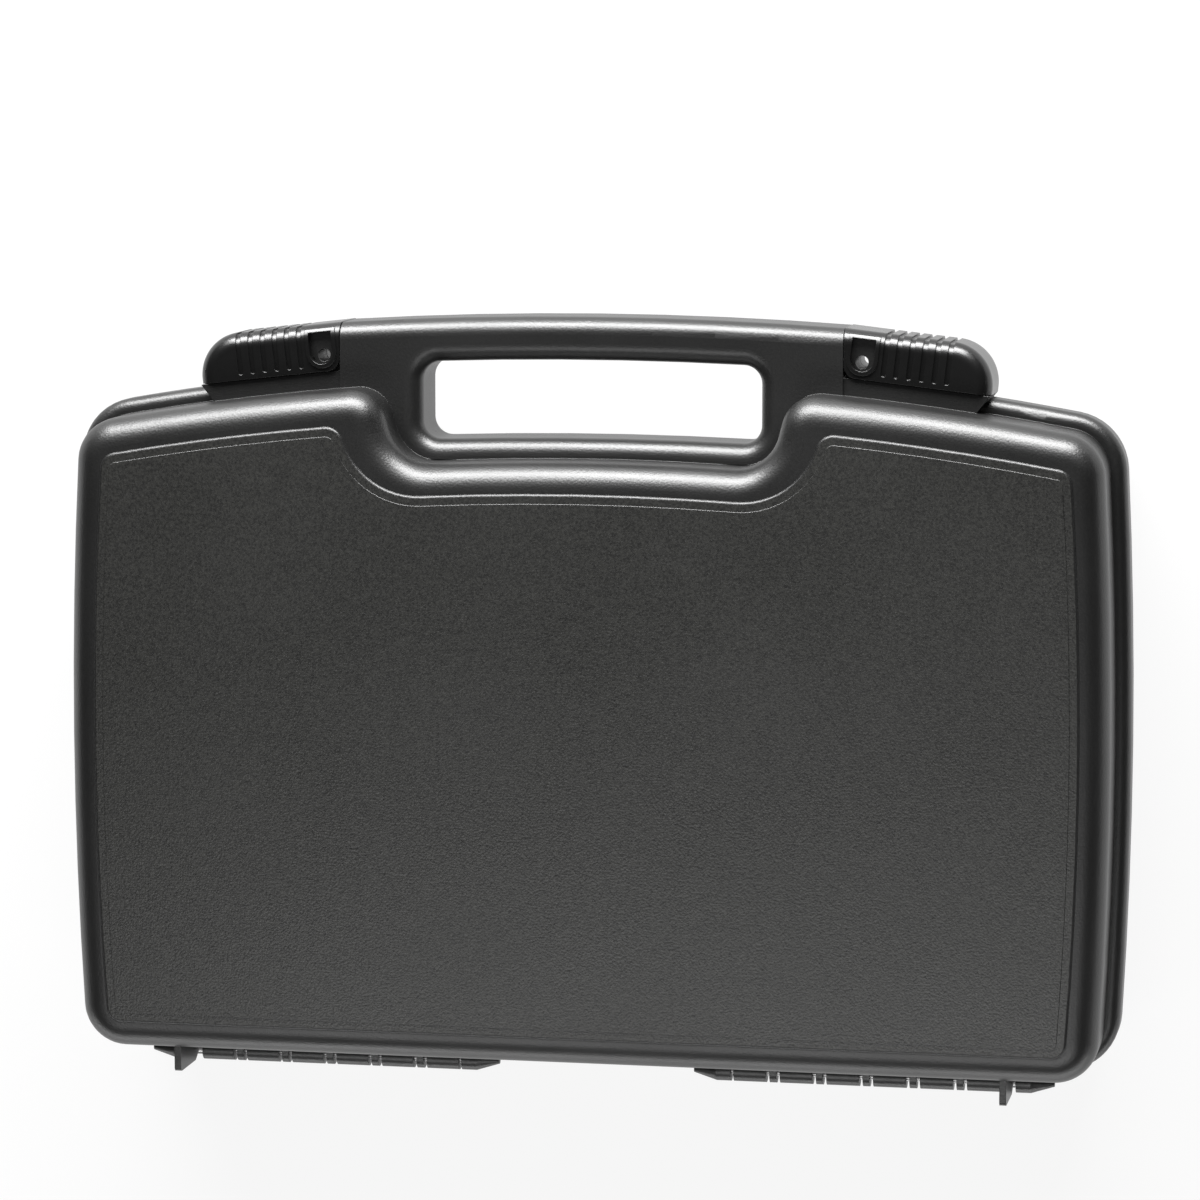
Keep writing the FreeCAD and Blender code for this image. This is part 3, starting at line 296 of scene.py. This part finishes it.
def makeFoam():
    material, tree, shader = newMaterial("linerFoam")
    grain = useGroup(tree, pebbleGrain, Cells_per_metre=foamLook["cellsPerMetre"])
    hands = useGroup(tree, handling, Clouds_per_metre=foamLook["cloudsPerMetre"])
    # Painted shade: the colour goes darker where the grain's bump height is low, standing in for shade
    # inside the pores
    paintedPoreShade = spread(tree, grain.outputs["Height"], foamLook["paintedShadeLow"], foamLook["paintedShadeHigh"], 0, 1)
    cells = mixColour(tree, paintedPoreShade, foamLook["dark"], foamLook["light"])
    tone = spread(tree, hands.outputs["Tone"], 0, 1, 0, foamLook["toneShare"])
    link(tree, mixColour(tree, tone, cells, foamLook["light"]), shader.inputs["Base Color"])
    gloss = spread(tree, hands.outputs["Gloss"], 0, 1, foamLook["smoothest"], foamLook["roughest"])
    link(tree, gloss, shader.inputs["Roughness"])
    bump = addNode(tree, "ShaderNodeBump",
                   {"Strength": foamLook["strength"], "Distance": foamLook["depth"]})
    link(tree, grain.outputs["Height"], bump.inputs["Height"])
    link(tree, bump.outputs["Normal"], shader.inputs["Normal"])
    shader.inputs["Sheen Weight"].default_value = foamLook["sheen"]
    shader.inputs["Specular IOR Level"].default_value = foamLook["specular"]
    return material


pinSteel = makePinSteel()
linerFoam = makeFoam()
finishes = {
    "lid_shell": shellPlastic, "base_shell": shellPlastic,
    "latch_slider_right": latchPlastic, "latch_slider_left": latchPlastic,
    "hinge_pin_right": pinSteel, "hinge_pin_left": pinSteel,
}
for nodeName, material in finishes.items():
    nodes[nodeName].data.materials.clear()
    nodes[nodeName].data.materials.append(material)
print("plastic, steel and foam finishes set")


# Foam liner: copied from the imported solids, with softened edges on the insert and the floor sheet
liner = {
    "weld": 0.00001, "flatAngle": 1, "insertEdge": 0.0016, "floorEdge": 0.0012,
    "edgeSteps": 3, "edgeAngle": 50, "lidFill": 0.7, "baseFill": 0.9,
}


def solidCopy(nodeName, pieceName):
    mesh = nodes[nodeName].data.copy()
    mesh.materials.clear()
    work = bmesh.new()
    work.from_mesh(mesh)
    bmesh.ops.remove_doubles(work, verts=work.verts, dist=liner["weld"])
    bmesh.ops.dissolve_limit(work, angle_limit=math.radians(liner["flatAngle"]), verts=work.verts,
                             edges=work.edges)
    work.to_mesh(mesh)
    work.free()
    piece = bpy.data.objects.new(pieceName, mesh)
    bpy.context.scene.collection.objects.link(piece)
    return piece


def bakeModifiers(piece):
    depsgraph = bpy.context.evaluated_depsgraph_get()
    mesh = bpy.data.meshes.new_from_object(piece.evaluated_get(depsgraph))
    piece.modifiers.clear()
    piece.data = mesh


def softSheet(nodeName, pieceName, edgeRound):
    piece = solidCopy(nodeName, pieceName)
    bevel = piece.modifiers.new("soft edges", "BEVEL")
    bevel.width = edgeRound
    bevel.segments = liner["edgeSteps"]
    bevel.limit_method = "ANGLE"
    bevel.angle_limit = math.radians(liner["edgeAngle"])
    bakeModifiers(piece)
    piece.data.materials.clear()
    piece.data.materials.append(linerFoam)
    return piece


# Lid pad: egg crate foam, waves on the side that presses on the contents
eggCrate = {
    "pitch": 0.026, "depth": 0.010, "step": 0.0026, "margin": 0.008, "inset": 0.0003, "sharpAngle": 50,
}


def makeEggCrateTree():
    tree = bpy.data.node_groups.new("eggCrate", "GeometryNodeTree")
    tree.interface.new_socket("Geometry", in_out="OUTPUT", socket_type="NodeSocketGeometry")
    for name in ("Width", "Length", "Thickness", "Low face", "Middle Y", "Pitch", "Depth", "Step"):
        tree.interface.new_socket(name, in_out="INPUT", socket_type="NodeSocketFloat")
    tree.interface.new_socket("Pad", in_out="INPUT", socket_type="NodeSocketObject")
    tree.interface.new_socket("Foam", in_out="INPUT", socket_type="NodeSocketMaterial")
    given = tree.nodes.new("NodeGroupInput").outputs
    result = tree.nodes.new("NodeGroupOutput")
    size = addNode(tree, "ShaderNodeCombineXYZ")
    link(tree, given["Width"], size.inputs[0])
    link(tree, given["Length"], size.inputs[1])
    link(tree, given["Thickness"], size.inputs[2])
    block = addNode(tree, "GeometryNodeMeshCube", {"Vertices Z": 2})
    link(tree, size.outputs[0], block.inputs["Size"])
    link(tree, calc(tree, "DIVIDE", given["Width"], given["Step"]), block.inputs["Vertices X"])
    link(tree, calc(tree, "DIVIDE", given["Length"], given["Step"]), block.inputs["Vertices Y"])
    spot = addNode(tree, "ShaderNodeSeparateXYZ")
    link(tree, addNode(tree, "GeometryNodeInputPosition").outputs[0], spot.inputs[0])
    waves = []
    for axis in (0, 1):
        turns = calc(tree, "DIVIDE", spot.outputs[axis], given["Pitch"])
        waves.append(calc(tree, "SINE", calc(tree, "MULTIPLY", turns, 2 * math.pi)))
    swell = calc(tree, "MULTIPLY", waves[0], waves[1])
    share = calc(tree, "MULTIPLY", calc(tree, "ADD", swell, 1.0), 0.5)
    rise = calc(tree, "MULTIPLY", share, given["Depth"])
    shift = addNode(tree, "ShaderNodeCombineXYZ")
    link(tree, rise, shift.inputs[2])
    wavy = addNode(tree, "GeometryNodeSetPosition")
    link(tree, block.outputs["Mesh"], wavy.inputs["Geometry"])
    link(tree, calc(tree, "LESS_THAN", spot.outputs[2], 0.0), wavy.inputs["Selection"])
    link(tree, shift.outputs[0], wavy.inputs["Offset"])
    lift = addNode(tree, "ShaderNodeCombineXYZ")
    link(tree, given["Middle Y"], lift.inputs[1])
    middle = calc(tree, "ADD", given["Low face"], calc(tree, "MULTIPLY", given["Thickness"], 0.5))
    link(tree, middle, lift.inputs[2])
    placed = addNode(tree, "GeometryNodeTransform")
    link(tree, wavy.outputs[0], placed.inputs["Geometry"])
    link(tree, lift.outputs[0], placed.inputs["Translation"])
    pad = addNode(tree, "GeometryNodeObjectInfo")
    link(tree, given["Pad"], pad.inputs["Object"])
    trimmed = addNode(tree, "GeometryNodeMeshBoolean", operation="INTERSECT", solver="EXACT")
    link(tree, placed.outputs[0], trimmed.inputs["Mesh 2"])
    link(tree, pad.outputs["Geometry"], trimmed.inputs["Mesh 2"])
    real = addNode(tree, "GeometryNodeRealizeInstances")
    link(tree, trimmed.outputs["Mesh"], real.inputs[0])
    dressed = addNode(tree, "GeometryNodeSetMaterial")
    link(tree, real.outputs[0], dressed.inputs["Geometry"])
    link(tree, given["Foam"], dressed.inputs["Material"])
    link(tree, dressed.outputs[0], result.inputs["Geometry"])
    return tree


def makeLidPad():
    low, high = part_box("lid_foam_pad")
    cutter = solidCopy("lid_foam_pad", "lidPadOutline")
    piece = bpy.data.objects.new("lid_foam", bpy.data.meshes.new("lid_foam"))
    bpy.context.scene.collection.objects.link(piece)
    crate = piece.modifiers.new("egg crate", "NODES")
    crate.node_group = makeEggCrateTree()
    values = {
        "Width": high.x - low.x + eggCrate["margin"], "Length": high.y - low.y + eggCrate["margin"],
        "Thickness": high.z - low.z + eggCrate["margin"], "Low face": low.z + eggCrate["inset"],
        "Middle Y": (low.y + high.y) / 2, "Pitch": eggCrate["pitch"], "Depth": eggCrate["depth"],
        "Step": eggCrate["step"], "Pad": cutter, "Foam": linerFoam,
    }
    for socket in crate.node_group.interface.items_tree:
        if socket.in_out == "INPUT":
            crate[socket.identifier] = values[socket.name]
    bakeModifiers(piece)
    bpy.data.objects.remove(cutter)
    piece.data.polygons.foreach_set("use_smooth", [True] * len(piece.data.polygons))
    piece.data.set_sharp_from_angle(angle=math.radians(eggCrate["sharpAngle"]))
    return piece


lidFoam = makeLidPad()
insertFoam = softSheet("base_foam_insert", "insert_foam", liner["insertEdge"])
floorFoam = softSheet("base_foam_floor", "floor_foam", liner["floorEdge"])
for piece, body, nodeName, fill in ((lidFoam, "lid", "lid_foam_pad", liner["lidFill"]),
                                    (insertFoam, "base", "base_foam_insert", liner["baseFill"]),
                                    (floorFoam, "base", "base_foam_floor", liner["baseFill"])):
    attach(piece, body)
    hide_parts(nodeName)
    print("foam piece", piece.name, len(piece.data.polygons), "faces")


# Floor: pale and plain, white to the camera and to reflections, keeping part of the case's shadow
floorLook = {
    "half": 12.0, "colour": (0.86, 0.86, 0.86), "roughness": 0.9, "specular": 0.1,
    "glow": 1.0, "white": 0.88,
}


def makeFloor():
    mesh = bpy.data.meshes.new("studioFloor")
    half = floorLook["half"]
    corners = [(-half, -half, 0), (half, -half, 0), (half, half, 0), (-half, half, 0)]
    mesh.from_pydata(corners, [], [(0, 1, 2, 3)])
    floor = bpy.data.objects.new("studioFloor", mesh)
    bpy.context.scene.collection.objects.link(floor)
    material, tree, shader = newMaterial("floorPaper")
    shader.inputs["Base Color"].default_value = floorLook["colour"] + (1,)
    shader.inputs["Roughness"].default_value = floorLook["roughness"]
    shader.inputs["Specular IOR Level"].default_value = floorLook["specular"]
    glow = addNode(tree, "ShaderNodeEmission", {"Strength": floorLook["glow"]})
    rays = addNode(tree, "ShaderNodeLightPath").outputs
    seen = calc(tree, "MAXIMUM", rays["Is Camera Ray"], rays["Is Glossy Ray"])
    seen = calc(tree, "MAXIMUM", seen, rays["Is Transmission Ray"])
    blend = addNode(tree, "ShaderNodeMixShader")
    link(tree, calc(tree, "MULTIPLY", seen, floorLook["white"]), blend.inputs[0])
    link(tree, shader.outputs[0], blend.inputs[1])
    link(tree, glow.outputs[0], blend.inputs[2])
    link(tree, blend.outputs[0], tree.nodes["Material Output"].inputs["Surface"])
    mesh.materials.append(material)


makeFloor()


# Studio: two strips at the handle side, a low fill and a high soft box at the hinge side, a dim room
studio = {
    "room": 0.05,
    "lamps": [
        {"name": "handleStrip", "place": (0.1, -1.3, 0.4), "aim": (0, 0, 0.08),
         "size": (1.6, 0.4), "power": 47},
        {"name": "handleSoftbox", "place": (0.1, -1.3, 0.8), "aim": (0, 0, 0.08),
         "size": (1.6, 0.4), "power": 32},
        {"name": "hingeFill", "place": (0, 0.9, 0.14), "aim": (0, 0, 0.08),
         "size": (3.6, 0.24), "power": 8},
        {"name": "hingeSoftbox", "place": (0, 0.42, 0.78), "aim": (0, 0.05, 0.09),
         "size": (0.9, 0.3), "power": 2.2},
    ],
}


def aimed(place, aim, upHint):
    view = (Vector(aim) - Vector(place)).normalized()
    right = view.cross(Vector(upHint)).normalized()
    up = right.cross(view)
    turn = Matrix((right, up, -view)).transposed().to_4x4()
    return Matrix.Translation(Vector(place)) @ turn


def lightStudio():
    world = bpy.data.worlds.new("studioRoom")
    world.use_nodes = True
    room = world.node_tree.nodes["Background"]
    room.inputs["Color"].default_value = (1, 1, 1, 1)
    room.inputs["Strength"].default_value = studio["room"]
    bpy.context.scene.world = world
    for lamp in studio["lamps"]:
        data = bpy.data.lights.new(lamp["name"], "AREA")
        data.shape = "RECTANGLE"
        data.size, data.size_y = lamp["size"]
        data.energy = lamp["power"]
        light = bpy.data.objects.new(lamp["name"], data)
        bpy.context.scene.collection.objects.link(light)
        light.matrix_world = aimed(lamp["place"], lamp["aim"], (0, 0, 1))
        light.visible_camera = False


# Camera: looks down on the lid, handle side up in the picture
cameraSettings = {
    "place": (-0.348, -0.271, 1.861), "aim": (-0.0089, -0.0496, 0.090), "lens": 145.1, "sensor": 36,
    "nearest": 0.01,
}


def setCamera():
    data = bpy.data.cameras.new("photoCamera")
    data.sensor_width = cameraSettings["sensor"]
    data.lens = cameraSettings["lens"]
    data.clip_start = cameraSettings["nearest"]
    camera = bpy.data.objects.new("photoCamera", data)
    bpy.context.scene.collection.objects.link(camera)
    camera.matrix_world = aimed(cameraSettings["place"], cameraSettings["aim"], (0, -1, 0))
    bpy.context.scene.camera = camera


lightStudio()
setCamera()
bpy.context.scene.view_settings.view_transform = "Standard"
print("floor, lamps and camera set")
